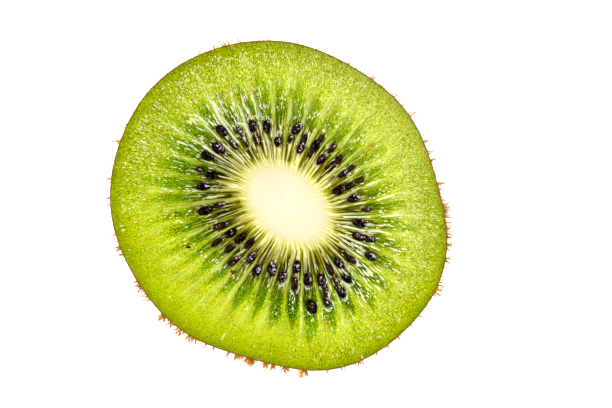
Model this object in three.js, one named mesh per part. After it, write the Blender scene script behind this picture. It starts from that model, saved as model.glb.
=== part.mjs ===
import * as THREE from 'three';

// A cross slice of a ripe green kiwi fruit, lying on one cut face with the other facing up.
// Millimetres, +Z up. The origin is on the fruit's axis, in the cut face that the slice rests on.

// Driving dimensions
const MEAN_RADIUS = 24.5; // fruit's axis to skin at the fullest height, averaged round the slice
const THICKNESS = 8.0; // cut face to cut face
const FULLEST_HEIGHT = 3.4; // where the skin stands out furthest
const SKIN_FALL = 0.2; // how far the skin draws in from there to the upper cut face
const EDGE_ROUNDING = 0.2; // corner between the skin and a cut face
const CORE_HALF_LENGTH = 8.3;
const CORE_HALF_WIDTH = 5.6;
const CORE_TURN = 138; // degrees from +X to the core's long axis
const CORE_CENTRE = new THREE.Vector2(1.06, 0.26); // the core grows a little off the axis
const CORE_RISE = 0.15; // the firm core stands proud of the cut
const LOCULES = 38; // seed chambers round the core
const LOCULE_DEPTH = 0.3; // the soft chambers sink below the cut
const LOCULE_START = 0.04; // shares of the way from the core's edge to the skin
const LOCULE_END = 0.62;

// The fruit isn't round: each wave swells the outline a few times round the axis.
const OUTLINE_WAVES = [
  { name: 'oval', times: 2, height: 1.41, peak: -39 },
  { name: 'egg', times: 3, height: 0.37, peak: -43 },
  { name: 'shoulders', times: 4, height: 0.19, peak: 42 },
  { name: 'flats', times: 6, height: 0.14, peak: -16 },
  { name: 'dents', times: 7, height: 0.17, peak: -20 },
];

// Mesh steps
const SPOKES = 4 * LOCULES;
const CORE_STEPS = [0.5]; // shares of the core's own radius
const FLESH_STEPS = [0, 0.1, 0.2, 0.32, 0.46, 0.62, 0.82]; // shares of the way from core to skin
const SIDE_STEPS = 5; // bands up the skin between the two rounded edges

const { degToRad, smoothstep } = THREE.MathUtils;

function outlineRadius(angle) {
  let radius = MEAN_RADIUS;
  for (const wave of OUTLINE_WAVES) {
    radius += wave.height * Math.cos(wave.times * (angle - degToRad(wave.peak)));
  }
  return radius;
}

function skinRadius(angle, z) {
  const fall = (z - FULLEST_HEIGHT) / (THICKNESS - FULLEST_HEIGHT);
  return outlineRadius(angle) - SKIN_FALL * fall * fall;
}

function coreEdge(angle) {
  const turn = degToRad(CORE_TURN);
  const point = new THREE.Vector2(
    CORE_HALF_LENGTH * Math.cos(angle - turn),
    CORE_HALF_WIDTH * Math.sin(angle - turn),
  );
  return point.rotateAround(new THREE.Vector2(), turn).add(CORE_CENTRE);
}

function faceEdge(angle) {
  const radius = skinRadius(angle, THICKNESS) - EDGE_ROUNDING;
  return new THREE.Vector2(radius * Math.cos(angle), radius * Math.sin(angle));
}

// The hollow over a seed chamber: deepest on the chamber's middle line, none on the ray between two.
function loculeHollow(angle, share) {
  const across = 0.5 - 0.5 * Math.cos(LOCULES * angle);
  const opening = smoothstep(share, LOCULE_START, LOCULE_START + 0.12);
  const closing = 1 - smoothstep(share, LOCULE_START + 0.22, LOCULE_END);
  return LOCULE_DEPTH * across * opening * closing;
}

function corePoint(angle, share) {
  const place = CORE_CENTRE.clone().lerp(coreEdge(angle), share);
  return new THREE.Vector3(place.x, place.y, THICKNESS + CORE_RISE * (1 - share * share));
}

function fleshPoint(angle, share) {
  const place = coreEdge(angle).lerp(faceEdge(angle), share);
  return new THREE.Vector3(place.x, place.y, THICKNESS - loculeHollow(angle, share));
}

function skinPoint(angle, z, inset) {
  const radius = skinRadius(angle, z) - inset;
  return new THREE.Vector3(radius * Math.cos(angle), radius * Math.sin(angle), z);
}

// Rings from the resting face, up the skin and in across the upper cut face to the core.
function sliceRings() {
  const rings = [];
  rings.push((angle) => skinPoint(angle, 0, EDGE_ROUNDING));
  for (let step = 0; step <= SIDE_STEPS; step += 1) {
    const rise = THICKNESS - 2 * EDGE_ROUNDING;
    const z = EDGE_ROUNDING + (rise * step) / SIDE_STEPS;
    rings.push((angle) => skinPoint(angle, z, 0));
  }
  rings.push((angle) => fleshPoint(angle, 1));
  for (const share of [...FLESH_STEPS].reverse()) {
    rings.push((angle) => fleshPoint(angle, share));
  }
  for (const share of [...CORE_STEPS].reverse()) {
    rings.push((angle) => corePoint(angle, share));
  }
  return rings;
}

// A closed skin over the rings, with one point that closes it below and one above.
function closedSkin(rings, lowest, highest) {
  const positions = [lowest.x, lowest.y, lowest.z];
  for (const ring of rings) {
    for (let spoke = 0; spoke < SPOKES; spoke += 1) {
      const point = ring((2 * Math.PI * spoke) / SPOKES);
      positions.push(point.x, point.y, point.z);
    }
  }
  positions.push(highest.x, highest.y, highest.z);

  const at = (ring, spoke) => 1 + ring * SPOKES + (spoke % SPOKES);
  const last = rings.length - 1;
  const top = 1 + rings.length * SPOKES;
  const index = [];
  for (let spoke = 0; spoke < SPOKES; spoke += 1) {
    index.push(0, at(0, spoke + 1), at(0, spoke));
    for (let ring = 0; ring < last; ring += 1) {
      index.push(at(ring, spoke), at(ring, spoke + 1), at(ring + 1, spoke + 1));
      index.push(at(ring, spoke), at(ring + 1, spoke + 1), at(ring + 1, spoke));
    }
    index.push(at(last, spoke), at(last, spoke + 1), top);
  }

  const geometry = new THREE.BufferGeometry();
  geometry.setAttribute('position', new THREE.Float32BufferAttribute(positions, 3));
  geometry.setIndex(index);
  geometry.computeVertexNormals();
  return geometry;
}

function kiwiSlice() {
  const restingMiddle = new THREE.Vector3(0, 0, 0);
  const coreMiddle = corePoint(0, 0);
  const geometry = closedSkin(sliceRings(), restingMiddle, coreMiddle);
  const flesh = new THREE.MeshStandardMaterial({ color: 0xb4c83a, roughness: 0.4, metalness: 0 });
  const mesh = new THREE.Mesh(geometry, flesh);
  mesh.name = 'kiwi_slice';
  return mesh;
}

const part = new THREE.Group();
part.add(kiwiSlice());

export default part;
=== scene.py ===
import math

import bpy
import numpy as np
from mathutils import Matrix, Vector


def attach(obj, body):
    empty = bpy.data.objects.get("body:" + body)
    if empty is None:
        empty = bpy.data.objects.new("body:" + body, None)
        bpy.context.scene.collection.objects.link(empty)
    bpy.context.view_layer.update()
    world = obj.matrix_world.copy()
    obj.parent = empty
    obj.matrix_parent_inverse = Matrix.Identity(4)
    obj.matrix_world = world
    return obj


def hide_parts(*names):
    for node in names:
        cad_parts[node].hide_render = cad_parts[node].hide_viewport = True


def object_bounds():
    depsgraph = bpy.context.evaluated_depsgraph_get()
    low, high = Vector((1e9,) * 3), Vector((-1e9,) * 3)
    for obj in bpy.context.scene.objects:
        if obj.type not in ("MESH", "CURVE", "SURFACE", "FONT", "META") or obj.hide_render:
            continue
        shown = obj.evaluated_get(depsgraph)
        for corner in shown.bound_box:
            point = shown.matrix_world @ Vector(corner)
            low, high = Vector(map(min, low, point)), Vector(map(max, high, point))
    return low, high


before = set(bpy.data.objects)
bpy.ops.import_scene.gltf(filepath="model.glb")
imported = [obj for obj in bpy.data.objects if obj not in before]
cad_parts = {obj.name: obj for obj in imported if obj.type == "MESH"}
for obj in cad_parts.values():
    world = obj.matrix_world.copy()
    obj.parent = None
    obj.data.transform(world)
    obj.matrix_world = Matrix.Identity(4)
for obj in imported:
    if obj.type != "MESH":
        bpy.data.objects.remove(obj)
cad_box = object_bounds()
MM = 0.001

# The camera looks straight down on the shown cut face. The slice lies a little left of the
# middle of the view, with +X to the right and +Y up.
LENS = 85
SENSOR = 36
SHOWN_WIDTH = 89.6 * MM
VIEW_MIDDLE = (3.93 * MM, 0.32 * MM)
cut_height = cad_box[1].z
camera = bpy.data.objects.new("camera", bpy.data.cameras.new("camera"))
camera.data.lens = LENS
camera.data.sensor_width = SENSOR
camera.data.clip_start = 0.01
camera.data.clip_end = 10
camera.location = (*VIEW_MIDDLE, cut_height + SHOWN_WIDTH * LENS / SENSOR)
bpy.context.scene.collection.objects.link(camera)
bpy.context.scene.camera = camera


# The flesh is everything inside the skin: the pale woody core, the wet seed chambers with pale rays
# between them, and the granular outer flesh. It is one closed mesh on spokes that run from the core's
# middle to the skin, and its relief is raised and sunk by geometry nodes.
CORE_HALF_LENGTH = 8.3
CORE_HALF_WIDTH = 5.6
CORE_TURN = math.radians(138)
CORE_CENTRE = np.array([1.06, 0.26])
CHAMBERS = 38
SPOKES_PER_CHAMBER = 20
SPOKES = CHAMBERS * SPOKES_PER_CHAMBER
SLICE_HEIGHT = 8.0
FULLEST_HEIGHT = 3.4
SKIN_FALL = 0.2
SKIN_THICKNESS = 0.15
OUTLINE_WAVES = 9
FULLEST_BAND = 0.4

# The outline is read from the CAD slice's side, near its fullest height.
side = np.array([v.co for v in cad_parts["kiwi_slice"].data.vertices]) / MM
side = side[np.abs(side[:, 2] - FULLEST_HEIGHT) < FULLEST_BAND]
side_bearing = np.arctan2(side[:, 1], side[:, 0])
side_reach = np.hypot(side[:, 0], side[:, 1])


def outline(bearing):
    """Distance from the fruit's axis to the skin where it is fullest, without the CAD slice's facets."""
    even = np.arange(360) * math.tau / 360
    wave = np.fft.rfft(np.interp(even, side_bearing, side_reach, period=math.tau)) / 360
    reach = np.full(np.shape(bearing), wave[0].real)
    for times in range(1, OUTLINE_WAVES):
        reach = reach + 2 * (wave[times] * np.exp(1j * times * bearing)).real
    return reach


def skin_reach(bearing, height):
    fall = (height - FULLEST_HEIGHT) / (SLICE_HEIGHT - FULLEST_HEIGHT)
    return outline(bearing) - SKIN_FALL * fall * fall


def chamber_bearing(count):
    """Bearing of a seed chamber, seen from the core's middle: they crowd and spread a little round it."""
    turn = count * math.tau / CHAMBERS
    drift = 0.26 + 0.44 * np.cos(turn - 2.23) + 0.22 * np.cos(2 * turn + 0.3) + 0.11 * np.cos(3 * turn - 2.41)
    return (count + drift) * math.tau / CHAMBERS


def core_edge(bearing):
    along = CORE_HALF_LENGTH * np.cos(bearing - CORE_TURN)
    across = CORE_HALF_WIDTH * np.sin(bearing - CORE_TURN)
    x = along * math.cos(CORE_TURN) - across * math.sin(CORE_TURN)
    y = along * math.sin(CORE_TURN) + across * math.cos(CORE_TURN)
    return np.stack([x, y], -1) + CORE_CENTRE


def on_cut(bearing, share, height=SLICE_HEIGHT, inset=0.0):
    """A place on a cut face: share is -1 at the core's middle, 0 at the core's edge and 1 at the skin."""
    edge = core_edge(bearing)
    reach = skin_reach(bearing, height) - inset
    rim = np.stack([reach * np.cos(bearing), reach * np.sin(bearing)], -1)
    inner = CORE_CENTRE + (edge - CORE_CENTRE) * (1 + np.minimum(share, 0))[..., None]
    return inner + (rim - edge) * np.maximum(share, 0)[..., None]


def wall_ring(height, inset):
    """A ring of points up on the slice's side, so far inside the skin's outside."""
    reach = skin_reach(bearings, height) - inset
    return np.column_stack([reach * np.cos(bearings), reach * np.sin(bearings), np.full(SPOKES, height)])


def chamber_axis(chamber):
    """Where a chamber's middle line leaves the core, and the directions along it and to its left."""
    bearing = np.array(chamber_bearing(float(chamber)))
    edge = on_cut(bearing, np.array(0.0))
    rim = on_cut(bearing, np.array(1.0))
    outward = (rim - edge) / np.hypot(*(rim - edge))
    return edge, outward, np.array([-outward[1], outward[0]])


def seen_from(place, x, y, heading):
    """How far places lie along and across a line through x, y with the given heading."""
    away = place - (x, y)
    along = away[..., 0] * math.cos(heading) + away[..., 1] * math.sin(heading)
    across = -away[..., 0] * math.sin(heading) + away[..., 1] * math.cos(heading)
    return along, across


def ring_faces(rings, spokes, closed=False):
    """Quads between rings that follow each other down a surface, the inner ring first on a top face."""
    ring = np.arange(rings if closed else rings - 1)[:, None] * spokes
    after = (ring + spokes) % (rings * spokes)
    spoke = np.arange(spokes)[None, :]
    beside = (spoke + 1) % spokes
    quads = np.stack([ring + spoke, after + spoke, after + beside, ring + beside], -1)
    return quads.reshape(-1, 4).tolist()


def mesh_piece(name, points, faces, attributes=()):
    """An object in the slice's frame from points in millimetres, with its point attributes."""
    mesh = bpy.data.meshes.new(name)
    mesh.from_pydata((np.asarray(points) * MM).tolist(), [], faces)
    for key, values in dict(attributes).items():
        kind, field = ("FLOAT", "value") if np.ndim(values) == 1 else ("FLOAT_VECTOR", "vector")
        layer = mesh.attributes.new(key, kind, "POINT")
        layer.data.foreach_set(field, np.ravel(values).astype(np.float32))
    if faces:
        mesh.shade_smooth()
    piece = bpy.data.objects.new(name, mesh)
    bpy.context.scene.collection.objects.link(piece)
    return piece


def smooth(low, high, value):
    step = np.clip((value - low) / (high - low), 0, 1)
    return step * step * (3 - 2 * step)


def bell(away, reach):
    """1 on the middle of a line or patch, and falling off softly over its reach."""
    return np.exp(-(away / reach) ** 2)


def chambers_off(count, middle):
    """How many chambers lie between two places round the core, the short way round."""
    return (count - middle + CHAMBERS / 2) % CHAMBERS - CHAMBERS / 2


def facing(bearing, degrees):
    """1 on the side of the slice at that bearing, down to 0 a quarter turn away and beyond."""
    return np.clip(np.cos(bearing - math.radians(degrees)), 0, 1)


def mottle(count, share, across, along, random):
    """Soft random lumps from 0 to 1: so many across a chamber, and so many along from core to skin."""
    wide = round(across * CHAMBERS)
    lumps = random.random((2 * along + 2, wide))
    x = count * wide / CHAMBERS
    y = (share + 1) * along
    column = np.floor(x).astype(int)
    row = np.floor(y).astype(int)
    right = smooth(0, 1, x - column)
    up = smooth(0, 1, y - row)
    low = lumps[row, column % wide] * (1 - right) + lumps[row, (column + 1) % wide] * right
    high = lumps[row + 1, column % wide] * (1 - right) + lumps[row + 1, (column + 1) % wide] * right
    return low * (1 - up) + high * up


def plug(sockets, values):
    """Sets sockets of the tree in hand by their keys. A value that is another node's output is linked."""
    for key, value in values.items():
        if isinstance(value, bpy.types.NodeSocket):
            tree.links.new(value, sockets[key])
        else:
            sockets[key].default_value = value


def add(kind, *inputs, out=None, **settings):
    """Adds a node to the tree in hand, with its settings, and gives its first output in use or the one
    named. Its inputs follow the order of the sockets in use, and a dict at their end names its sockets."""
    made = tree.nodes.new(kind if "Node" in kind else "ShaderNode" + kind)
    for key, value in settings.items():
        setattr(made, key, value)
    if inputs and isinstance(inputs[-1], dict):
        plug(made.inputs, inputs[-1])
        inputs = inputs[:-1]
    in_use = [socket for socket in made.inputs if socket.enabled]
    plug(in_use, dict(enumerate(inputs)))
    return made.outputs[out] if out else next((socket for socket in made.outputs if socket.enabled), None)


def colour(code):
    """A hex colour as linear light."""
    parts = [int(code[i:i + 2], 16) / 255 for i in (0, 2, 4)]
    return (*[p / 12.92 if p <= 0.04045 else ((p + 0.055) / 1.055) ** 2.4 for p in parts], 1)


# Rings from the core's middle out over the shown face, down inside the skin and in under the other face.
core_rings = np.array([-0.85, -0.65, -0.47, -0.35])
fringe_rings = np.linspace(-0.26, 0, 11)[:-1]
chamber_rings = np.linspace(0, 0.62, 54)
outer_rings = np.linspace(0.62, 1, 34)[1:]
top_shares = np.concatenate([core_rings, fringe_rings, chamber_rings, outer_rings])
under_shares = np.concatenate([np.linspace(1, 0.62, 4), np.linspace(0.62, 0, 14)[1:], [-0.2, -0.6]])
spoke_count = np.arange(SPOKES) / SPOKES_PER_CHAMBER
bearings = chamber_bearing(spoke_count)
# The rays on two sides of the core stand out wet and white, with a painted sheen, and the others are pale and
# broad: the ray in the middle of each wet stretch, how many chambers it reaches, and how wet it is.
WET_RAYS = ((12.0, 3.4, 1.0), (35.6, 3.0, 1.0), (1.5, 3.0, 0.28), (6.0, 3.0, 0.12), (22.0, 6.5, 0.1))
# Juice has run along the rays here, and its shine is painted in short white dashes.
SHINING_RUNNELS = ((12.5, 4.5), (34.0, 4.0))
# The bearings of the sides where the flesh is wettest, palest, and where the chambers are short or long.
WETTEST = 100
PALEST = 28
SHORT_FLAMES = 220
SHORT_CHAMBERS = 215
LONG_CHAMBERS = -55


def cut_fields(shares, random):
    """The places on a cut face's rings and spokes, and the fields that colour and raise it there."""
    def varied(low, high, which):
        return random.uniform(low, high, CHAMBERS)[which]

    def lumps(turn, across, along):
        return mottle(turn, share, across, along, random)

    share, count = np.meshgrid(shares, spoke_count, indexing="ij")
    bearing = chamber_bearing(count)
    place = on_cut(bearing, share)
    step = np.roll(place, -1, 1) - np.roll(place, 1, 1)
    span = np.hypot(step[..., 0], step[..., 1]) * SPOKES_PER_CHAMBER / 2
    outside = np.clip(share, 0, 1)

    # Rays and chambers sway a little on their way out.
    sway = 0.3 * (lumps(count, 0.7, 5) - 0.5) * smooth(0.03, 0.45, share)
    swayed = count + sway
    ray = np.floor(swayed).astype(int) % CHAMBERS
    chamber = np.round(swayed).astype(int) % CHAMBERS
    from_ray = (swayed - np.floor(swayed) - 0.5) * span
    from_chamber = (swayed - np.round(swayed)) * span

    # A ray is a broad pale veil, with a painted wet sheen and a thin white strand on it where it is bold.
    ray_order = np.arange(CHAMBERS) + 0.5
    wetness = sum(much * bell(chambers_off(ray_order, middle), reach) for middle, reach, much in WET_RAYS)
    bold = (0.08 + 0.92 * np.clip(wetness, 0, 1))[ray] * varied(0.6, 1.0, ray)
    veil_width = (0.16 + 0.75 * outside) * varied(0.7, 1.3, ray)
    veil = bell(from_ray, veil_width) * varied(0.6, 1.0, ray)
    veil *= smooth(-0.12, 0.02, share) * (1 - smooth(0.5, 0.9, share))
    veil *= 0.5 + 0.8 * lumps(swayed, 4, 7)
    strand_at = varied(-0.12, 0.12, ray) * (1 + 2 * outside)
    strand_width = (0.06 + 0.06 * bold) * (1 + 1.1 * outside)
    strand_width *= 0.6 + 0.9 * lumps(count, 1, 9)
    strand_end = varied(0.5, 0.85, ray)
    strand = bold * bell(from_ray - strand_at, strand_width)
    strand *= smooth(-0.04, 0.08, share) * (1 - smooth(strand_end - 0.3, strand_end, share))
    sheen_width = (0.22 + 0.36 * outside) * (0.6 + 0.9 * lumps(swayed, 1, 6))
    sheen = bold * bell(from_ray, sheen_width)
    sheen *= smooth(-0.06, 0.1, share) * (1 - smooth(strand_end - 0.2, strand_end + 0.15, share))
    strand = np.clip(1.6 * strand, 0, 1) * smooth(0.22, 0.52, lumps(count, 1, 18))

    # A chamber is a dark flame: it opens beside the core, and its ragged sides close before the skin.
    tip = varied(-0.08, 0.03, chamber)
    opening = smooth(tip, tip + 0.24, share + 0.05 * (lumps(count, 2, 6) - 0.5))
    flame_end = varied(0.66, 0.85, chamber) - 0.11 * facing(bearing, SHORT_FLAMES)
    along = np.clip(share / flame_end, 0, 1.2)
    half = 0.43 * span * opening ** 0.7 * (1 - along ** 3.5)
    ragged = 0.32 * (lumps(count, 4, 18) - 0.5) * smooth(0.1, 0.4, share)
    softness = 0.06 + 0.26 * smooth(0.15, 0.6, share) + 0.3 * smooth(0.48, 0.66, share)
    flame = 1 - smooth(-softness, softness, np.abs(from_chamber) + ragged - half)
    flame = flame * smooth(0, 0.3, opening)
    inner = share * (1 - 0.22 * facing(bearing, LONG_CHAMBERS)) * (1 + 0.16 * facing(bearing, SHORT_CHAMBERS))

    # Two thin fibres run out of the core into each chamber.
    fibre = np.zeros(share.shape)
    for side in (-1, 1):
        fibre_at = side * varied(0.02, 0.3, chamber) * span
        fibre_width = varied(0.06, 0.1, chamber)
        fibre_end = varied(0.12, 0.34, chamber)
        line = bell(from_chamber - fibre_at, fibre_width) * (1 - smooth(fibre_end - 0.1, fibre_end, share))
        fibre = np.maximum(fibre, line * varied(0.4, 1.0, chamber))
    fibre *= smooth(0.15, 0.5, lumps(count, 2, 14)) * smooth(-0.12, 0.02, share)

    # Broad patches of the face are wetter, paler, or streaked with juice whose shine is painted.
    runnel_shine = sum(bell(chambers_off(count, middle), reach) for middle, reach in SHINING_RUNNELS)
    runnel_shine = np.clip(runnel_shine, 0, 1) * smooth(0.1, 0.26, share) * (1 - smooth(0.5, 0.8, share))
    wet = 0.5 + 0.25 * np.cos(bearing - math.radians(WETTEST)) + 0.2 * np.cos(2 * bearing - math.radians(270))
    wet = np.clip(wet + 0.4 * (lumps(count, 0.25, 4) - 0.5), 0, 1) * (1 - 0.4 * smooth(0.88, 0.96, share))
    pale = (0.5 + 0.5 * np.cos(bearing - math.radians(PALEST))) ** 1.6
    pale = np.clip(pale + 0.4 * (lumps(count, 0.2, 3) - 0.5), 0, 1)
    return place, bearing, {
        "share": share, "veil": veil, "sheen": sheen, "strand": strand, "runnel_shine": runnel_shine,
        "fibre": fibre, "chamber": flame, "inner": inner, "wet": wet, "pale": pale,
    }


# The kinds of seed that the cut shows: length, width, and the centre's depth under the cut. Sunk seeds
# are mostly covered by the flesh.
SEED_KINDS = {
    "large": (2.3, 1.3, 0.3), "full": (2.0, 1.1, 0.35), "short": (1.5, 1.1, 0.35), "slim": (2.05, 0.82, 0.45),
    "long": (2.6, 0.8, 0.45), "sliver": (1.6, 0.55, 0.5), "sunk": (1.5, 0.7, 0.6),
}
# Each chamber's seeds: millimetres out from the core's edge, and kind. Some also have millimetres to the
# left of the chamber's middle line, and degrees turned to the left from it.
SEED_ROWS = [
    [(4.7, "sunk")], [(3.3, "full")], [(1.8, "full", 0.1), (3.4, "slim"), (5.2, "sunk")],
    [(3.6, "slim"), (5.0, "sunk")], [(2.7, "slim"), (4.3, "slim")], [(2.7, "full"), (5.0, "slim", -0.25)],
    [(2.3, "sliver"), (3.8, "full"), (5.2, "sunk", -0.24)], [(2.6, "full"), (3.8, "slim")],
    [(3.3, "sliver", 0.15), (4.9, "large", -0.5, -25)], [(2.4, "short", 0.28)], [(4.5, "full")],
    [(2.8, "slim"), (4.8, "full")], [(4.8, "slim")], [(3.5, "slim"), (6.1, "full")], [(4.6, "large")],
    [(5.4, "full", -0.22)], [(3.9, "full", 0.4), (5.8, "sunk")], [(4.9, "full", 0.37)], [],
    [(3.1, "slim", -0.15), (5.2, "large", 0.28)], [], [(4.0, "long", -0.17, -13)],
    [(3.3, "full"), (5.85, "slim")], [(2.7, "full"), (4.8, "slim", 0.17)],
    [(2.3, "slim"), (5.75, "slim", 0.18)], [(3.7, "full")], [(4.8, "full")], [(3.6, "large", 0, 28)],
    [(4.0, "full")], [(2.3, "full"), (4.8, "slim")], [(4.0, "full"), (8.1, "large", 0.2, 28)],
    [(4.4, "full"), (5.85, "slim", 0.2), (7.6, "slim")], [(3.3, "slim"), (5.3, "sunk"), (7.0, "full")],
    [(3.3, "full"), (5.7, "full", -0.6, 22)], [(4.2, "slim")], [(6.3, "full")],
    [(3.65, "full", -0.17), (5.3, "slim")], [(3.5, "full")],
]


def seed_places(rows, random):
    """Each seed's centre, heading towards the core, length, width and depth on a cut face."""
    found = []
    for chamber, row in enumerate(rows):
        edge, outward, leftward = chamber_axis(chamber)
        for distance, kind, *shift in row:
            aside, turn = (*shift, 0, 0)[:2]
            length, width, depth = SEED_KINDS[kind]
            heading = math.atan2(-outward[1], -outward[0]) + math.radians(turn + random.normal(0, 3))
            swell = random.uniform(0.94, 1.04)
            middle = edge + outward * distance + leftward * aside
            found.append((*middle, heading, length * swell, width * swell, depth))
    return np.array(found)


shown_seeds = seed_places(SEED_ROWS, np.random.default_rng(5))
hidden_seeds = seed_places(SEED_ROWS[::-1], np.random.default_rng(8))
# How far a pit reaches past its seed, and how far outside the pit its wet lip lies. The lips stand highest,
# and their painted shine is brightest, below a line across the slice.
PIT_MARGIN = 0.16
LIP_DISTANCE = 0.2
LIP_WIDTH = 0.11
SHINING_BELOW = -10


def pits_round(place, seeds, random):
    """The hollow that each seed lies in, and the raised wet lip with painted shine on one or two sides of it,
    on a cut face.
    """
    pit = np.zeros(place.shape[:2])
    lip_and_shine = np.zeros(place.shape[:2])
    for x, y, heading, length, width in seeds[:, :5]:
        along, across = seen_from(place, x, y, heading)
        out = np.hypot(along / (length / 2 + PIT_MARGIN), across / (width / 2 + PIT_MARGIN))
        pit = np.maximum(pit, 1 - smooth(0.6, 1.05, out))
        from_pit = (out - 1) * (width / 2 + PIT_MARGIN)
        outward = math.atan2(y - CORE_CENTRE[1], x - CORE_CENTRE[0])
        turned = np.arctan2(across, along) + heading - outward - random.uniform(-0.8, 0.8)
        strength = random.uniform(0.1, 0.4) if y > SHINING_BELOW else random.uniform(0.6, 1.0)
        beside = bell(from_pit - LIP_DISTANCE, LIP_WIDTH) * smooth(0.55, 0.95, np.cos(turned))
        lip_and_shine = np.maximum(lip_and_shine, beside * strength)
    return pit, lip_and_shine * (1 - pit)


# Films of juice whose white shine is painted: where their middles lie, their lengths out from the core and
# widths.
JUICE_GLINTS = (
    (-2.7, 13.3, 1.6, 0.5), (-4.6, 14.25, 1.3, 0.35), (-2.2, 14.8, 0.8, 0.5), (-6.1, 11.6, 1.2, 0.3),
    (13.5, -2.7, 1.3, 0.4), (12.6, -4.0, 2.6, 0.3), (12.2, -6.3, 2.6, 0.3), (11.6, -8.6, 1.2, 0.35),
    (8.9, -9.4, 1.6, 0.4), (6.3, -12.2, 1.2, 0.4), (10.6, -12.4, 1.0, 0.25), (2.0, -15.2, 0.9, 0.25),
)


# Painted highlight: where the films of juice shine white.
def juice_films(place):
    film = np.zeros(place.shape[:2])
    for x, y, length, width in JUICE_GLINTS:
        along, across = seen_from(place, x, y, math.atan2(y - CORE_CENTRE[1], x - CORE_CENTRE[0]))
        film = np.maximum(film, 1 - smooth(0.5, 1.3, np.hypot(2 * along / length, 2 * across / width)))
    return film


# The flesh's grain runs out from the core. One unit of its field is 0.5 mm wide beside the core and 1.6 mm
# at the skin, and 2.2 mm long.
GRAIN_REACH = 15.0
GRAIN_STRETCH = 0.45


def face_attributes(shares, seeds, random):
    place, bearing, fields = cut_fields(shares, random)
    fields["pit"], fields["lip_and_shine"] = pits_round(place, seeds, random)
    fields["film"] = juice_films(place)
    outward = np.hypot(*np.moveaxis(place - CORE_CENTRE, -1, 0)) * GRAIN_STRETCH
    fields["grain"] = np.stack([GRAIN_REACH * np.cos(bearing), GRAIN_REACH * np.sin(bearing), outward], -1)
    return fields


top = face_attributes(top_shares, shown_seeds, np.random.default_rng(11))
under = face_attributes(under_shares, hidden_seeds, np.random.default_rng(12))
WALL_INSET = SKIN_THICKNESS * 0.6
FACE_INSET = WALL_INSET + 0.1
WALL_HEIGHTS = (7.88, 5.4, 2.6, 0.12)


def flesh_points():
    """All rings of the flesh, from the shown face's middle to the underside's."""
    rings = []
    for share in top_shares:
        place = on_cut(bearings, np.full(SPOKES, share), SLICE_HEIGHT, FACE_INSET)
        rings.append(np.column_stack([place, np.full(SPOKES, SLICE_HEIGHT)]))
    rings += [wall_ring(height, WALL_INSET) for height in WALL_HEIGHTS]
    for share in under_shares:
        place = on_cut(bearings, np.full(SPOKES, share), 0.0, FACE_INSET)
        rings.append(np.column_stack([place, np.zeros(SPOKES)]))
    return np.concatenate(rings)


def flesh_values(key):
    """One attribute over the whole flesh: the wall inside the skin is plain outer flesh."""
    width = top[key].shape[2:]
    wall = np.full((len(WALL_HEIGHTS), SPOKES, *width), 1.0 if key == "share" else 0.0)
    ends = np.full((1, *width), -1.0 if key == "share" else 0.0)
    rings = np.concatenate([top[key], wall, under[key]]).reshape(-1, *width)
    return np.concatenate([rings, ends, ends])


flesh_rings = len(top_shares) + len(WALL_HEIGHTS) + len(under_shares)
flesh_middles = [[*CORE_CENTRE, SLICE_HEIGHT], [*CORE_CENTRE, 0.0]]
faces = ring_faces(flesh_rings, SPOKES)
first = flesh_rings * SPOKES
below = (flesh_rings - 1) * SPOKES
for spoke in range(SPOKES):
    beside = (spoke + 1) % SPOKES
    faces.append([first, spoke, beside])
    faces.append([first + 1, below + beside, below + spoke])
values = {key: flesh_values(key) for key in top}
values["upper"] = np.zeros(first + 2)
values["upper"][:len(top_shares) * SPOKES] = 1
values["upper"][first] = 1
values["lower"] = np.zeros(first + 2)
values["lower"][(len(top_shares) + len(WALL_HEIGHTS)) * SPOKES:first] = 1
values["lower"][first + 1] = 1
flesh_places = np.concatenate([flesh_points(), flesh_middles])
flesh_start = mesh_piece("flesh_start", flesh_places, faces, values)

# The map that the flesh's colours are baked on: the shown face as a large disc, the underside as a
# small one, and the wall as a strip. Each disc has its middle and radius on the map, where it takes in
# so many millimetres from the axis.
MAP_REACH = 26.5
SHOWN_DISC = (np.array([0.4, 0.4]), 0.39)
UNDER_DISC = (np.array([0.89, 0.11]), 0.095)
STRIP_LEFT = 0.01
STRIP_LENGTH = 0.98
STRIP_FOOT = 0.82
STRIP_HEIGHT = 0.16
quads = np.array(faces[:(flesh_rings - 1) * SPOKES])
corner_ring = quads // SPOKES
corner_spoke = np.stack([quads[:, 0] % SPOKES] * 2 + [quads[:, 0] % SPOKES + 1] * 2, -1)
top_map, under_map = (
    middle + radius * flesh_places[:, :2] / MAP_REACH for middle, radius in (SHOWN_DISC, UNDER_DISC))
wall_map = np.stack([
    STRIP_LEFT + STRIP_LENGTH * corner_spoke / SPOKES,
    STRIP_FOOT + STRIP_HEIGHT * (corner_ring - len(top_shares) + 1) / (len(WALL_HEIGHTS) + 1)], -1)
face_ring = corner_ring[:, 0][:, None, None]
on_top = face_ring < len(top_shares) - 1
on_wall = face_ring < len(top_shares) + len(WALL_HEIGHTS)
quad_map = np.where(on_top, top_map[quads], np.where(on_wall, wall_map, under_map[quads]))
fans = np.array(faces[(flesh_rings - 1) * SPOKES:])
fan_map = np.where((np.arange(len(fans)) % 2 == 0)[:, None, None], top_map[fans], under_map[fans])
bake_map = flesh_start.data.uv_layers.new(name="OFBake")
bake_map.data.foreach_set("uv", np.concatenate([quad_map.ravel(), fan_map.ravel()]).astype(np.float32))


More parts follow.
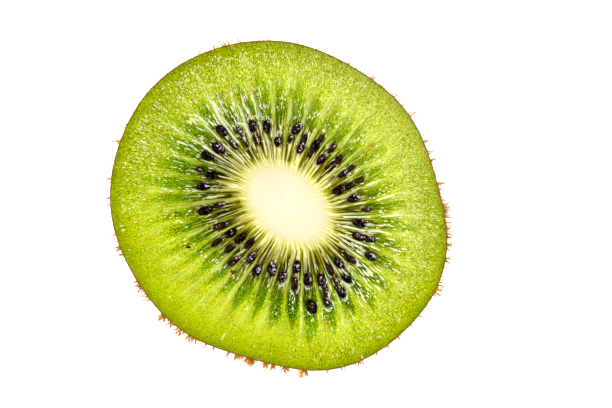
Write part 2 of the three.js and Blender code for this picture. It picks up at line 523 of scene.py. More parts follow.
def new_tree(name, sizes):
    """A geometry nodes tree with a mesh going in, a named input for each size, and a mesh coming out."""
    tree = bpy.data.node_groups.new(name, "GeometryNodeTree")
    tree.interface.new_socket("Geometry", in_out="INPUT", socket_type="NodeSocketGeometry")
    for key, value in sizes.items():
        kind = "NodeSocketInt" if isinstance(value, int) else "NodeSocketFloat"
        tree.interface.new_socket(key, in_out="INPUT", socket_type=kind)
    tree.interface.new_socket("Geometry", in_out="OUTPUT", socket_type="NodeSocketGeometry")
    given = tree.nodes.new("NodeGroupInput").outputs
    return tree, given


def finish_tree(geometry, material):
    realized = add("GeometryNodeRealizeInstances", geometry)
    painted = add("GeometryNodeSetMaterial", realized, {"Material": material})
    add("NodeGroupOutput", painted)


def grown(name, start, tree, sizes):
    """Runs the tree on the start mesh and keeps the result as a plain mesh piece."""
    modifier = start.modifiers.new(name, "NODES")
    modifier.node_group = tree
    for item in tree.interface.items_tree:
        if item.in_out == "INPUT" and item.name in sizes:
            modifier[item.identifier] = sizes[item.name]
    depsgraph = bpy.context.evaluated_depsgraph_get()
    mesh = bpy.data.meshes.new_from_object(
        start.evaluated_get(depsgraph), preserve_all_data_layers=True, depsgraph=depsgraph)
    mesh.name = name
    mesh.shade_smooth()
    while mesh.materials[0] is None:
        mesh.materials.pop(index=0)
    piece = bpy.data.objects.new(name, mesh)
    bpy.context.scene.collection.objects.link(piece)
    bpy.data.objects.remove(start)
    return piece


def new_material(name):
    """A material, the tree to add its pattern to, and its surface shader's sockets."""
    material = bpy.data.materials.new(name)
    material.use_nodes = True
    tree = material.node_tree
    shader = next(node for node in tree.nodes if node.type == "BSDF_PRINCIPLED")
    return material, tree, shader.inputs


def combine(operation, *parts):
    """Works outputs and numbers into one value. A part can also be (output, factor), or (output, low, high,
    start, end): that goes from start to end, or from 0 to 1, as the output goes from low to high."""
    total = None
    for part in parts:
        if isinstance(part, tuple) and len(part) == 2:
            part = add("Math", *part, operation="MULTIPLY")
        elif isinstance(part, tuple):
            part = add("MapRange", *part)
        total = part if total is None else add("Math", total, part, operation=operation)
    return total


def laid_over(under, over, *parts):
    """Lays a colour over another, as far as all of the parts let it through."""
    return add("Mix", combine("MULTIPLY", *parts), under, over, data_type="RGBA")


def ramp(amount, stops):
    """A run of colours over a value: each stop is the value and its hex colour."""
    low, high = stops[0][0], stops[-1][0]
    made = add("ValToRGB", add("MapRange", amount, low, high))
    elements = made.node.color_ramp.elements
    while len(elements) < len(stops):
        elements.new(0.5)
    for element, (at, code) in zip(elements, stops):
        element.position = (at - low) / (high - low)
        element.color = colour(code)
    return made


# Ripe kiwi flesh, cut with a sharp knife and still wet. It reads as juicy: yellow-green and granular, with
# a clear gloss that breaks into small sparks, paler fibres in the rays and a dull creamy core.
flesh_material, tree, surface = new_material("cut_kiwi_flesh")
field = {key: add("Attribute", attribute_name=key, out="Fac") for key in top if key != "grain"}
share, wet, pale = field["share"], field["wet"], field["pale"]
grain_place = add("Attribute", attribute_name="grain", out="Vector")
flat_place = add("TexCoord", out="Object")
# 0 near the core and 1 near the skin, with a border that wavers in patches of 1.4 mm.
near_skin = combine("ADD", share, (add("TexNoise", flat_place, 0.7 / MM, 1.0), 0.4))
near_skin = add("MapRange", near_skin, 0.78, 0.86)


def along_grain(kind, scale, detail, stretch=1.0):
    """A pattern so many times per unit of the grain's field. Under 1, the stretch draws it out lengthwise."""
    laid = add("VectorMath", grain_place, (1, 1, stretch), operation="MULTIPLY")
    return add(kind, laid, scale, detail)


# Real flesh cells are about 0.1 mm wide, which is too fine to show. They are drawn 0.35 mm apart, with
# lumps and gaps of 0.15 mm between them, on the flat near the core and along the grain near the skin.
near_cell = add("TexVoronoi", flat_place, 2.9 / MM)
cell_distance = add("Mix", near_skin, near_cell, along_grain("TexVoronoi", 4.4, 0.0, 1.1))
near_lumps = add("TexNoise", flat_place, 6.5 / MM, 0.0)
fine_grain = add("Mix", near_skin, near_lumps, along_grain("TexNoise", 11.0, 0.0))
fine_grain = combine("MULTIPLY", combine("SUBTRACT", fine_grain, 0.5), 5.5)
coarse_grain = combine("SUBTRACT", along_grain("TexNoise", 0.7, 2.0), 0.5)
streak_grain = combine("SUBTRACT", along_grain("TexNoise", 2.6, 2.0, 0.14), 0.5)
streak_grain = combine("MULTIPLY", streak_grain, (pale, 0.3, 1.0, 1.0, 0.5))

# The grain is drawn round 0: dark gaps below it, swollen pale cells above it.
roughened = combine("MAXIMUM", (wet, 0.12, 0.8, 0.38, 1.45), (share, 0.75, 0.4))
cells = combine("ADD", (cell_distance, 0.15, 0.65, 0.35, -0.35), fine_grain)
cells = combine("MULTIPLY", cells, roughened, (share, -0.15, 0.15, 0.15, 1.0), (share, 0.55, 0.65, 0.85, 0.5))
streaks = combine("MULTIPLY", streak_grain, (share, 0.45, 0.85, 1.1, 0.2))
deeper = combine("MULTIPLY", (pale, 0.14, 0.0), (share, 0.45, 0.55), (share, 0.8, 0.7))
grain = combine(
    "ADD", cells, streaks, (coarse_grain, 0.4), (wet, 0.15, 0.8, -0.01, -0.02), (pale, 0.14), (deeper, -0.07))
grain = combine("MULTIPLY", grain, (share, -0.35, -0.03, 0.02, 1.0))

# The flesh between the chambers, from the core's middle to the skin.
flesh_middle = ramp(share, [
    (-1, "ece6c8"), (-0.3, "e6deb8"), (-0.2, "e0d69c"), (-0.1, "e0d684"), (-0.03, "dad468"), (0, "c0bc30"),
    (0.08, "9c9804"), (0.2, "a6a420"), (0.32, "acbc10"), (0.45, "c0d408"), (0.56, "ccda14"), (0.68, "d2dd22"),
    (0.8, "c8d608"), (0.9, "b9c900"), (0.94, "a8ba00"), (1, "849004")])
flesh_dark = ramp(share, [
    (-0.2, "ccc68c"), (-0.1, "b8b24c"), (0, "848004"), (0.12, "646000"), (0.3, "5c7000"), (0.45, "688800"),
    (0.6, "789400"), (0.72, "84a000"), (0.84, "7c9400"), (1, "747e00")])
flesh_pale = ramp(share, [
    (-0.2, "f0edc8"), (0, "ece478"), (0.12, "d0ca40"), (0.3, "d4de40"), (0.5, "dae83a"), (0.68, "e2ee58"),
    (0.8, "dce64a"), (0.9, "ccd834"), (1, "b0be10")])
outer = laid_over(flesh_middle, flesh_dark, (grain, 0.0, -0.4))
outer = laid_over(outer, flesh_pale, (grain, 0.0, 0.45))

# The clear jelly of a chamber lets the light sink in, so it is nearly black beside the core.
chamber_dark = ramp(field["inner"], [
    (-0.15, "b8b04c"), (-0.05, "7c7806"), (0.03, "444000"), (0.12, "1a1200"), (0.22, "181000"),
    (0.3, "202800"), (0.4, "2e5200"), (0.5, "427000"), (0.6, "668e00"), (0.72, "8ca800")])
chamber_pale = ramp(field["inner"], [
    (-0.15, "c8c274"), (-0.05, "b4b030"), (0.05, "908c08"), (0.15, "7c780c"), (0.25, "708000"),
    (0.33, "7c9c00"), (0.42, "9abc00"), (0.52, "b2d200"), (0.72, "cce420")])
chamber = laid_over(chamber_dark, chamber_pale, (grain, -0.35, 0.42))
chamber = laid_over(chamber, flesh_middle, pale, 0.25)
chamber_streaks = combine("MULTIPLY", streak_grain, (share, 0.44, 0.6, -0.3, -1.5))
in_chamber = combine("ADD", field["chamber"], chamber_streaks, (fine_grain, -0.12), (pale, -0.36))
in_chamber = add("MapRange", in_chamber, 0.22, 0.56)

# Fibres run out from the core, 0.3 mm apart beside it, with dark gaps between them.
far_fibre = along_grain("TexNoise", 4.3, 1.0, 0.28)
spread = add("MapRange", share, 0.08, 0.3)
fibre_wave = add("Mix", spread, along_grain("TexNoise", 1.9, 1.0, 0.2), far_fibre)
in_fibres = add("MapRange", share, -0.24, 0.02)
gap_colour = ramp(share, [
    (-0.24, "dcd28c"), (-0.1, "b4ac40"), (0.0, "585600"), (0.1, "262200"), (0.22, "1c2000"), (0.36, "3c6200"),
    (0.6, "6c9000")])
glow_colour = ramp(share, [
    (-0.24, "eee4a4"), (-0.1, "eae080"), (0, "bcb81c"), (0.1, "989400"), (0.22, "8c9008"), (0.42, "a8bc10")])
fibre_colour = ramp(share, [
    (-0.1, "fffad0"), (0.03, "fefab0"), (0.15, "fffcd0"), (0.34, "f0f4a0"), (0.6, "eef684")])
strays = combine("MULTIPLY", (fibre_wave, 0.56, 0.59), (share, 0.46, 0.25, 0.0, 0.95))
feathers = combine("MULTIPLY", pale, (share, 0.85, 0.6, 0.0, 0.4), (far_fibre, 0.52, 0.62), spread)
strays = combine("MULTIPLY", combine("MAXIMUM", strays, feathers), in_fibres)
fibres = combine("MAXIMUM", strays, field["fibre"])
veil_colour = ramp(share, [
    (-0.1, "e0d67c"), (0.05, "b4ac10"), (0.15, "a8a814"), (0.3, "bacc34"), (0.45, "d6e45c"), (0.62, "e8f084"),
    (0.8, "e8f27c")])
painted_sheen_colour = ramp(share, [(0.1, "e0d858"), (0.35, "e4f28c"), (0.7, "e8f884")])

# The juice's white shine is painted as highlights: in dashes along the wet rays, in films, and in broken
# edges beside the seeds.
glint_dashes = combine("ADD", along_grain("TexNoise", 3.4, 1.0, 0.34), (field["runnel_shine"], 0.2))
glint_breaks = combine("ADD", fine_grain, streak_grain)
film = combine("MULTIPLY", field["film"], (glint_breaks, -0.9, -0.1))
# Painted highlight on the wet lips beside the seeds, broken up.
lip_glint = combine("ADD", field["lip_and_shine"], (glint_breaks, 0.3))
lip_glint = combine("MULTIPLY", (lip_glint, 0.4, 0.65, 0.0, 0.95), (field["lip_and_shine"], 0.08, 0.25))
film = combine("MAXIMUM", film, lip_glint)

# The sparks are painted highlights: the middles of random cells, 0.2 mm wide, more of them and larger where
# it is wetter, and crowded in patches of 1.8 mm.
near_spark = along_grain("TexVoronoi", 4.3, 0.0, 0.72)
far_spark = along_grain("TexVoronoi", 9.0, 0.0, 0.44)
spark_distance = add("Mix", near_skin, near_spark, far_spark)
lucks = [add("SeparateColor", cell.node.outputs["Color"]) for cell in (near_spark, far_spark)]
spark_luck = add("Mix", near_skin, *lucks)
near_crowd = add("MapRange", add("TexNoise", flat_place, 0.56 / MM, 1.0), 0.4, 0.66, 0.1, 2.4)
far_crowd = add("MapRange", coarse_grain, -0.12, 0.12, 0.7, 1.3)
spark_crowd = add("Mix", near_skin, near_crowd, far_crowd)
spark_share = combine("POWER", (wet, 0.1, 1.0), 1.4)
spark_share = combine("MULTIPLY", spark_share, (share, 0.5, 0.7, 0.26, 0.66))
spark_share = combine(
    "ADD", spark_share, (share, 0.7, 0.5, 0.08, 0.1), (pale, 0.5, 1.0, 0.0, 0.05), (in_chamber, 0.07))
spark_share = combine("ADD", (spark_share, spark_crowd), (field["lip_and_shine"], 0.5))
spark_share = combine("MULTIPLY", spark_share, (share, 0.02, 0.2), (share, 0.99, 0.92))
spark_reach = combine("ADD", spark_luck, spark_share)
spark_reach = add("MapRange", spark_reach, 1.0, 1.15, 0.15, 0.44)
spark = combine("SUBTRACT", spark_reach, spark_distance)
spark_highlight_colour = laid_over(colour("fdffd6"), colour("fcffb0"), (share, 0.4, 0.62))

# A dull haze lies on the pale side's swollen cells and on the drier side.
haze = combine("MULTIPLY", (pale, 0.5, 1.0, 0.0, 0.18), (share, 0.3, 0.6), (grain, -0.15, 0.3))
dry_haze = combine("MULTIPLY", (wet, 0.36, 0.1, 0.0, 0.06), (share, 0.88, 0.68))
haze = combine("MAXIMUM", haze, dry_haze)

# What lies over the flesh between the chambers, from the lowest up: a colour, and what lets it through.
base = outer
for over, *parts in (
    (chamber, in_chamber),
    (gap_colour, (fibre_wave, 0.485, 0.445), (share, 0.5, 0.08, 0.0, 0.85), in_fibres),
    (glow_colour, (fibre_wave, 0.47, 0.53), (share, 0.42, 0.1, 0.0, 0.9), in_fibres),
    (fibre_colour, fibres),
    (veil_colour, field["veil"], (streak_grain, -0.12, 0.06, 0.4, 1.0), (fibre_wave, 0.42, 0.52, 0.5, 1.0)),
    (colour("e2efa0"), (field["veil"], 0.5, 0.85, 0.0, 0.6), (share, 0.64, 0.42), (share, 0.05, 0.2)),
    # painted sheen on the wet rays
    (painted_sheen_colour, field["sheen"], (fibre_wave, 0.48, 0.56, 0.05, 0.75), (share, 0.0, 0.2, 0.2, 1.0)),
    # painted shade in the hollow round each seed
    (colour("1c1000"), field["pit"], 0.75),
    (colour("fdffd8"), (field["strand"], 0.25, 0.65)),
    # painted highlights in the juice runnels
    (colour("faffdc"), (glint_dashes, 0.765, 0.785)),
    # painted highlight of the juice films and wet lips
    (colour("f2faea"), film),
    # painted highlights: the sparks
    (spark_highlight_colour, (spark, 0.0, 0.08), (spark_reach, 0.15, 0.2)),
    (colour("f0e8b8"), haze),
):
    base = laid_over(base, over, *parts)

# Light sinks deepest into the clear flesh round the seeds, most of all on the side where the chambers are
# long. There the dark parts are darker, and the paler flesh outside them is a little dimmed.
contrast = combine(
    "MINIMUM", (share, -0.02, 0.1, 1.0, 1.31), (share, 0.22, 0.4, 1.31, 1.21), (share, 0.55, 0.78, 1.31, 1.0))
long_side = combine("SUBTRACT", share, field["inner"])
long_side = combine("MULTIPLY", (long_side, 0.01, 0.05), (share, 0.62, 0.5), (share, 0.02, 0.1))
contrast = combine("ADD", contrast, (long_side, 0.26))
base = add("Gamma", base, contrast)
lit = combine("MAXIMUM", (pale, 0.0, 0.25), (wet, 0.55, 0.8), (share, 0.3, 0.5), (share, 0.12, 0.0))
dimmed = combine(
    "MULTIPLY", (share, 0.45, 0.8, 1.0, 0.86), (wet, 0.55, 0.9, 1.0, 0.96), (lit, 0.0, 1.0, 0.8, 1.0))
base = add("VectorMath", base, {"Scale": dimmed}, operation="SCALE")

# The green juice soaks up the blue in all but the pale parts, most of all beside the core.
red, green, blue = list(add("SeparateColor", base).node.outputs)[:3]
blue_limit = add("MapRange", share, 0.38, 0.66, 0.2, 0.07)
blue = combine("MULTIPLY", blue, (blue, 0.0, blue_limit, 0.12, 1.0))
plug(surface, {
    "Base Color": add("CombineColor", red, green, blue), "Roughness": 0.2, "IOR": 1.34,
    "Specular IOR Level": 0.06, "Specular Tint": (1.0, 1.0, 0.1, 1),
    "Normal": add("Bump", {"Height": grain, "Distance": 0.05 * MM, "Strength": 1.0})})

RELIEF = {
    "Ray height": 0.1, "Strand height": 0.06, "Chamber depth": 0.32, "Pit depth": 0.35, "Lip height": 0.12,
    "Grain height": 0.25,
}
tree, given = new_tree("cut_face_relief", RELIEF)
here = {
    key: add("GeometryNodeInputNamedAttribute", key, data_type="FLOAT")
    for key in ("share", "veil", "strand", "lip_and_shine", "chamber", "pit", "upper", "lower")}
grain_place = add("GeometryNodeInputNamedAttribute", "grain", data_type="FLOAT_VECTOR")
lumps = combine("SUBTRACT", add("TexNoise", grain_place, 1.3, 2.0), 0.5)
lump_height = combine("MULTIPLY", (here["share"], -0.1, 0.3), given["Grain height"])
relief = combine(
    "ADD", (here["veil"], given["Ray height"]), (here["strand"], given["Strand height"]),
    (here["lip_and_shine"], given["Lip height"]), (lumps, lump_height))
sunk = combine("ADD", (here["chamber"], given["Chamber depth"]), (here["pit"], given["Pit depth"]))
relief = combine("SUBTRACT", relief, sunk)
relief = combine("MULTIPLY", relief, (here["share"], 0.96, 1.0, MM, 0.0))
hollow = combine("MAXIMUM", (relief, -1.0), 0.0)
move = combine("ADD", (relief, here["upper"]), (hollow, here["lower"]))
moved = add("GeometryNodeSetPosition", given["Geometry"], {"Offset": add("CombineXYZ", {"Z": move})})
finish_tree(moved, flesh_material)
flesh = grown("flesh", flesh_start, tree, RELIEF)
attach(flesh, "root")
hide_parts("kiwi_slice")


# The skin is a thin dry brown peel round the slice, cut off square at both faces. It is a closed band
# that laps the flesh's edge, with a leathery grain.
SKIN_LIP = 0.04
band_heights = np.linspace(SKIN_LIP, SLICE_HEIGHT - SKIN_LIP, 25)
band = [wall_ring(height, 0.0) for height in band_heights[::-1]]
band += [wall_ring(height, SKIN_THICKNESS) for height in band_heights]
# Dry suede-like kiwi skin: the fine matt grain of 0.3 mm and the tan patches of 2 mm keep it from looking
# like plastic.
skin_material, tree, surface = new_material("kiwi_skin")
skin_place = add("TexCoord", out="Object")
skin_patches = add("TexNoise", skin_place, 0.45 / MM, 4)
skin_grain = add("TexNoise", skin_place, 3.5 / MM, 3)
skin_tint = laid_over(colour("6e3c06"), colour("b8741a"), skin_patches)
skin_tint = laid_over(skin_tint, colour("7c6c14"), skin_grain, 0.5)
plug(surface, {
    "Base Color": skin_tint, "Roughness": 0.85, "Specular IOR Level": 0.08,
    "Normal": add("Bump", {"Height": skin_grain, "Distance": 0.12 * MM, "Strength": 0.8})})
skin = mesh_piece("skin", np.concatenate(band), ring_faces(len(band), SPOKES, closed=True))
skin.data.materials.append(skin_material)
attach(skin, "root")


# The skin is matted with short brown fuzz that lies nearly flat, and longer stiff golden hairs stand out
# of it in loose tufts, most of them where the fruit was rubbed least. Both are bent tapered spines,
# planted on a copy of the skin's outside by geometry nodes.
HAIRS = {
    "Fuzz per square mm": 5.0, "Fuzz length": 0.55, "Hairs per square mm": 5.0, "Hair length": 2.0,
    "Fuzz seed": 4, "Hair seed": 9,
}
# Dry golden hair: matt, brown in the short ones and straw-coloured in the long ones, so that they glint
# singly over the skin.
hair_material, tree, surface = new_material("kiwi_hair")
hair_tint = add("Attribute", attribute_name="tint", out="Fac")
hair_tint = ramp(hair_tint, [(0, "8c5000"), (0.6, "cc8a10"), (1, "f0b83c")])
plug(surface, {"Base Color": hair_tint, "Roughness": 0.8, "Specular IOR Level": 0.1})

# One hair is a unit long. It has three rings of three points and a tip, and its root is sunk in the skin.
HAIR_BEND = 0.28
HAIR_GIRTH = 0.065
HAIR_ROOT = 0.06
hair_points = [
    (HAIR_BEND * up * up + girth * math.cos(turn), girth * math.sin(turn), up - HAIR_ROOT)
    for up, girth in ((step, HAIR_GIRTH * (1 - step ** 3)) for step in (0, 1 / 3, 2 / 3))
    for turn in np.arange(3) * math.tau / 3]
hair_points.append((HAIR_BEND, 0, 1 - HAIR_ROOT))
hair_faces = [face[::-1] for face in ring_faces(3, 3)] + [[6, 7, 9], [7, 8, 9], [8, 6, 9], [2, 1, 0]]
hair_shape = mesh_piece("hair_shape", np.array(hair_points) / MM, hair_faces)

# Where the hairs stand: bearing in degrees, reach to either side, and how thick they are there.
HAIRY_SIDES = np.array([
    (-122, 34, 1.0), (-85, 16, 0.6), (-15, 28, 0.35), (40, 20, 0.25), (150, 25, 0.12), (105, 14, 0.15)])
TUFTS = 300
rooting_band = [wall_ring(height, 0.02) for height in np.linspace(0.5, SLICE_HEIGHT - 0.12, 9)[::-1]]
away = (np.degrees(bearings)[:, None] - HAIRY_SIDES[:, 0] + 180) % 360 - 180
hairy = bell(away, HAIRY_SIDES[:, 1]) @ HAIRY_SIDES[:, 2]
tufts = np.random.default_rng(21).random(TUFTS)
tufts = np.interp(np.arange(SPOKES) * TUFTS / SPOKES, np.arange(TUFTS), tufts, period=TUFTS) ** 4 * 4
hair_start = mesh_piece("hair_start", np.concatenate(rooting_band), ring_faces(len(rooting_band), SPOKES), {
    "hairy": np.tile(np.clip(hairy, 0.06, 1) * tufts, len(rooting_band))})
tree, given = new_tree("skin_hairs", HAIRS)


def planted_hairs(density, length, seed, lean, girth):
    """Bent spines on the skin, leaning at random between the given angles from straight out."""
    planted = add("GeometryNodeDistributePointsOnFaces", {
        "Mesh": given["Geometry"], "Density": combine("MULTIPLY", density, 1 / MM / MM), "Seed": seed})
    leant = add(
        "FunctionNodeRandomValue", (lean[0], 0, -math.pi), (lean[1], 0, math.pi), {"Seed": seed},
        data_type="FLOAT_VECTOR")
    parts = add("SeparateXYZ", leant).node.outputs
    turned = planted.node.outputs["Rotation"]
    for turn in ({"Z": parts["Z"]}, {"Y": parts["X"]}):
        turn = add("CombineXYZ", turn)
        turned = add("FunctionNodeRotateRotation", turned, turn, rotation_space="LOCAL")
    # Hairs get shorter towards the table, so that none of them reaches into it.
    height = add("SeparateXYZ", add("GeometryNodeInputPosition"), out="Z")
    draw = add("FunctionNodeRandomValue", 0.3, 1.0, {"Seed": 6}, data_type="FLOAT")
    tall = combine("MULTIPLY", draw, length, (height, 0.0, 1.6 * MM, 0.0, MM))
    tinted = add("GeometryNodeStoreNamedAttribute", {
        "Geometry": planted, "Name": "tint", "Value": draw}, data_type="FLOAT", domain="POINT")
    return add("GeometryNodeInstanceOnPoints", {
        "Points": tinted, "Instance": add("GeometryNodeObjectInfo", hair_shape, out="Geometry"),
        "Rotation": turned, "Scale": add("CombineXYZ", girth * MM, girth * MM, tall)})


fuzz = planted_hairs(given["Fuzz per square mm"], given["Fuzz length"], given["Fuzz seed"], (1.0, 1.35), 0.7)
hairy_here = add("GeometryNodeInputNamedAttribute", "hairy", data_type="FLOAT")
hair_density = combine("MULTIPLY", given["Hairs per square mm"], hairy_here)
hairs = planted_hairs(hair_density, given["Hair length"], given["Hair seed"], (0.0, 0.6), 1.0)
joined = add("GeometryNodeJoinGeometry", fuzz)
tree.links.new(hairs, joined.node.inputs[0])
finish_tree(joined, hair_material)
skin_hairs = grown("skin_hairs", hair_start, tree, HAIRS)
bpy.data.objects.remove(hair_shape)
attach(skin_hairs, "root")


# The seeds are dark brown-black teardrops with a hard wet coat, which lie in the chambers with their
# points towards the core. One seed mesh is set on each place by geometry nodes.
SEED_SHAPE = {"Thickness for width": 0.8}


def egg(rings, sides, point):
    """A closed round body one unit long, its poles on X: the point thins the end that faces +X."""
    along = np.cos(np.linspace(0, math.pi, rings + 2))[1:-1]
    girth = np.sqrt(1 - along ** 2) * (1 - point * along - 0.1 * along ** 2)
    turn = np.arange(sides) * math.tau / sides
    points = [
        (0.5 * at, 0.5 * wide * math.cos(angle), 0.5 * wide * math.sin(angle))
        for at, wide in zip(along, girth) for angle in turn]
    last = len(points) - sides
    faces = ring_faces(rings, sides)
    for k in range(sides):
        faces.append([len(points), k, (k + 1) % sides])
        faces.append([len(points) + 1, last + (k + 1) % sides, last + k])
    return np.array(points + [(0.5, 0, 0), (-0.5, 0, 0)]), faces


seed_points, seed_faces = egg(12, 16, 0.32)
seed_shape = mesh_piece("seed_shape", seed_points / MM, seed_faces)
# The hard coat of a ripe seed, wet: nearly black with rusty flecks of 0.4 mm, and a painted cold white
# highlight in broken patches on the side that faces the light. Covered seeds show brown through the flesh
# over them.
seed_material, tree, surface = new_material("kiwi_seed_coat")
seed_place = add("TexCoord", out="Object")
seed_mottle = add("TexNoise", seed_place, 2.4 / MM, 2.0)
seed_tint = ramp(seed_mottle, [(0.52, "020001"), (0.58, "1c0706"), (0.64, "5a2a16"), (0.72, "8a5430")])
covered = add("Attribute", attribute_name="covered", out="Fac")
seed_tint = laid_over(seed_tint, colour("4a2c14"), covered, seed_mottle)
# The side of a seed that faces the light, on which its highlight is painted.
GLINT_FACING = (0.5, 0.36, 0.66)
seed_glint_side = add("VectorMath", add("NewGeometry", out="Normal"), GLINT_FACING, operation="DOT_PRODUCT")
seed_glint_breaks = combine("SUBTRACT", add("TexNoise", seed_place, 3.6 / MM, 1.0), 0.5)
seed_glint = add("Attribute", attribute_name="seed_glint", out="Fac")
seed_glint = combine("ADD", seed_glint_side, (seed_glint_breaks, 2.8), seed_glint)
# Painted highlight: pale violet-white patches on the lit side of each seed.
seed_tint = laid_over(seed_tint, colour("dccedc"), (seed_glint, 1.12, 1.2, 0.0, 0.95))
seed_wrinkles = add("TexNoise", seed_place, 2.2 / MM, 2)
plug(surface, {
    "Base Color": seed_tint, "Roughness": 0.15, "Specular IOR Level": 0.07,
    "Specular Tint": (1.0, 0.8, 0.95, 1),
    "Normal": add("Bump", {"Height": seed_wrinkles, "Distance": 0.12 * MM, "Strength": 1.0})})

all_seeds = np.concatenate([shown_seeds, hidden_seeds])
seed_centre = np.concatenate([SLICE_HEIGHT - shown_seeds[:, 5], 0.1 + hidden_seeds[:, 4] / 2])
seeds_from = mesh_piece("seeds_from", np.column_stack([all_seeds[:, :2], seed_centre]), [], {
    "heading": all_seeds[:, 2], "seed_length": all_seeds[:, 3], "seed_width": all_seeds[:, 4],
    "covered": np.clip((all_seeds[:, 5] - 0.35) / 0.25, 0, 1),
    # How strongly each seed's painted highlight shows.
    "seed_glint": np.random.default_rng(31).choice([-0.2, -0.05, 0.1, 0.25], len(all_seeds))})
tree, given = new_tree("seeds_in_place", SEED_SHAPE)
heading, long, wide = (
    add("GeometryNodeInputNamedAttribute", key, data_type="FLOAT")
    for key in ("heading", "seed_length", "seed_width"))
rotation = add("FunctionNodeEulerToRotation", add("CombineXYZ", {"Z": heading}))
full = add("CombineXYZ", long, wide, combine("MULTIPLY", wide, given["Thickness for width"]))
set_seeds = add("GeometryNodeInstanceOnPoints", {
    "Points": given["Geometry"], "Instance": add("GeometryNodeObjectInfo", seed_shape, out="Geometry"),
    "Rotation": rotation, "Scale": add("VectorMath", full, (MM, MM, MM), operation="MULTIPLY")})
finish_tree(set_seeds, seed_material)
seeds = grown("seeds", seeds_from, tree, SEED_SHAPE)
bpy.data.objects.remove(seed_shape)
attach(seeds, "root")


# Torn golden stalks, which held the seeds to the core, lie loose in some of the chambers. Each is a thin
# bent tube with pointed ends: its chamber, and how far from the core's edge it starts and ends.
STALKS = (
    (24, 3.3, 4.8), (28, 0.3, 3.2), (4, 1.0, 3.4), (11, 1.8, 4.0), (27, 0.4, 2.6), (32, 0.5, 2.4),
    (6, 0.6, 2.0), (3, 0.8, 2.8), (25, 0.5, 2.2), (13, 0.4, 2.0), (36, 0.5, 2.0),
)
STALK_RADIUS = 0.075
STALK_HEIGHT = 7.84
STALK_RINGS = 9
STALK_SIDES = 6
stalk_random = np.random.default_rng(17)
stalk_points = []
stalk_faces = []
for chamber, start, end in STALKS:
    edge, outward, leftward = chamber_axis(chamber)
    bow = stalk_random.uniform(-0.25, 0.25)
    root = len(stalk_points)
    for up in np.linspace(0, 1, STALK_RINGS):
        middle = edge + outward * (start + (end - start) * up) + leftward * bow * math.sin(5 * up)
        girth = STALK_RADIUS * (0.35 + 0.65 * math.sin(math.pi * up) ** 0.5)
        for turn in np.arange(STALK_SIDES) * math.tau / STALK_SIDES:
            aside = middle + leftward * girth * math.cos(turn)
            stalk_points.append((*aside, STALK_HEIGHT + girth * math.sin(turn)))
    stalk_faces += (np.array(ring_faces(STALK_RINGS, STALK_SIDES))[:, ::-1] + root).tolist()
    stalk_faces.append(list(range(root, root + STALK_SIDES))[::-1])
    stalk_faces.append(list(range(len(stalk_points) - STALK_SIDES, len(stalk_points))))
seed_stalks = mesh_piece("seed_stalks", stalk_points, stalk_faces)
# Soft plant fibre soaked with juice: straw to cream in patches of 0.7 mm, with a weak gloss, so it glows
# against the dark chamber.
stalk_material, tree, surface = new_material("golden_seed_stalk")
stalk_mottle = add("TexNoise", add("TexCoord", out="Object"), 1.5 / MM, 2.0)
stalk_tint = ramp(stalk_mottle, [(0.35, "b89c30"), (0.5, "e2cc64"), (0.65, "fff0a8")])
plug(surface, {"Base Color": stalk_tint, "Roughness": 0.3, "Specular IOR Level": 0.2})
seed_stalks.data.materials.append(stalk_material)
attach(seed_stalks, "root")


# A few crumbs that the knife dragged over the cut: dark red bits of seed coat and orange bits of skin.
# They are flat lumps that stick to the wet flesh: place, length, width, degrees turned, and how orange.
CRUMBS = (
    (-13.3, -6.0, 0.75, 0.42, -10, 0.0), (-6.83, -9.6, 0.75, 0.6, 40, 0.0), (2.32, -12.6, 0.95, 0.4, 85, 0.1),
    (1.13, 11.9, 0.7, 0.35, 80, 1.0), (13.7, 8.9, 0.45, 0.4, 0, 1.0), (-0.6, -16.1, 0.4, 0.3, 30, 0.0),
)
CRUMB_THICKNESS = 0.22
CRUMB_HEIGHT = SLICE_HEIGHT + 0.03
crumb_random = np.random.default_rng(19)
crumb_points = []
crumb_faces = []
crumb_orange = []
for x, y, length, width, turned, orange in CRUMBS:
    points, faces = egg(6, 9, 0.1)
    points = points * (length, width, CRUMB_THICKNESS) * crumb_random.uniform(0.75, 1.2, (len(points), 1))
    turn = math.radians(turned)
    crumb_faces += [[corner + len(crumb_points) for corner in face] for face in faces]
    for along, across, up in points:
        crumb_points.append((
            x + along * math.cos(turn) - across * math.sin(turn),
            y + along * math.sin(turn) + across * math.cos(turn), CRUMB_HEIGHT + up))
        crumb_orange.append(orange)
crumbs = mesh_piece("crumbs", crumb_points, crumb_faces, {"orange": np.array(crumb_orange)})
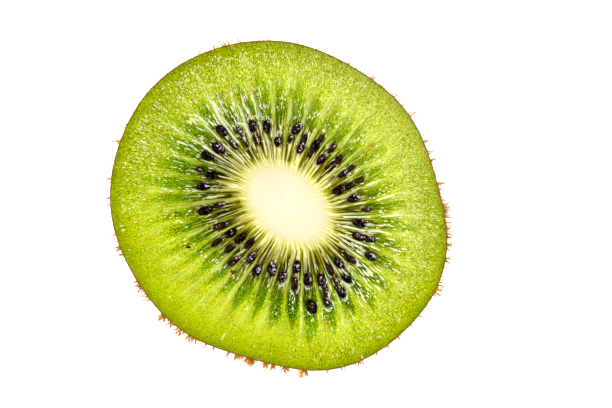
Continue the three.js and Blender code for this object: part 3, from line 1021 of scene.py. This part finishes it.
# Torn bits of seed coat and peel: matt, with paler flecks of 0.4 mm on the broken edges.
crumb_material, tree, surface = new_material("torn_seed_coat_and_peel")
crumb_orange = add("Attribute", attribute_name="orange", out="Fac")
crumb_mottle = add("TexNoise", add("TexCoord", out="Object"), 2.5 / MM, 2.0)
crumb_tint = laid_over(colour("4a0212"), colour("d87a10"), crumb_orange)
crumb_tint = laid_over(crumb_tint, colour("b06a30"), (crumb_mottle, 0.5, 0.75, 0.0, 0.4))
plug(surface, {"Base Color": crumb_tint, "Roughness": 0.6, "Specular IOR Level": 0.1})
crumbs.data.materials.append(crumb_material)
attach(crumbs, "root")


# The floor is a plain white table, and the light is that of a white tent: bright all round near the
# floor and dim overhead, with a large soft box on either side.
floor = mesh_piece("floor", np.array([(-1, -1, 0), (1, -1, 0), (1, 1, 0), (-1, 1, 0)]) / MM, [(0, 1, 2, 3)])
# White matt board, so brightly lit that its shadows nearly wash out.
floor_material, tree, surface = new_material("white_table")
plug(surface, {
    "Base Color": colour("f8f8f8"), "Roughness": 0.9,
    "Emission Color": (1, 1, 1, 1), "Emission Strength": 0.8})
floor.data.materials.append(floor_material)

world = bpy.data.worlds.new("tent")
bpy.context.scene.world = world
world.use_nodes = True
tree = world.node_tree
up = add("SeparateXYZ", add("TexCoord", out="Generated"), out="Z")
background = next(node for node in tree.nodes if node.type == "BACKGROUND")
plug(background.inputs, {
    "Color": (1, 1, 1, 1), "Strength": add("MapRange", up, 0.3, 0.7, 0.5, 0.02)})

for name, place, width, power in (
    ("key_light", (0.26, 0.3, 0.5), 0.16, 2.7),
    ("fill_light", (-0.5, 0.0, 0.45), 0.35, 3.3),
    ("front_light", (-0.2, -0.5, 0.4), 0.35, 1.4),
):
    lamp = bpy.data.objects.new(name, bpy.data.lights.new(name, "AREA"))
    lamp.data.size = width
    lamp.data.energy = power
    lamp.location = place
    lamp.rotation_euler = (-lamp.location).to_track_quat("-Z", "Y").to_euler()
    bpy.context.scene.collection.objects.link(lamp)

bpy.context.scene.view_settings.view_transform = "Standard"
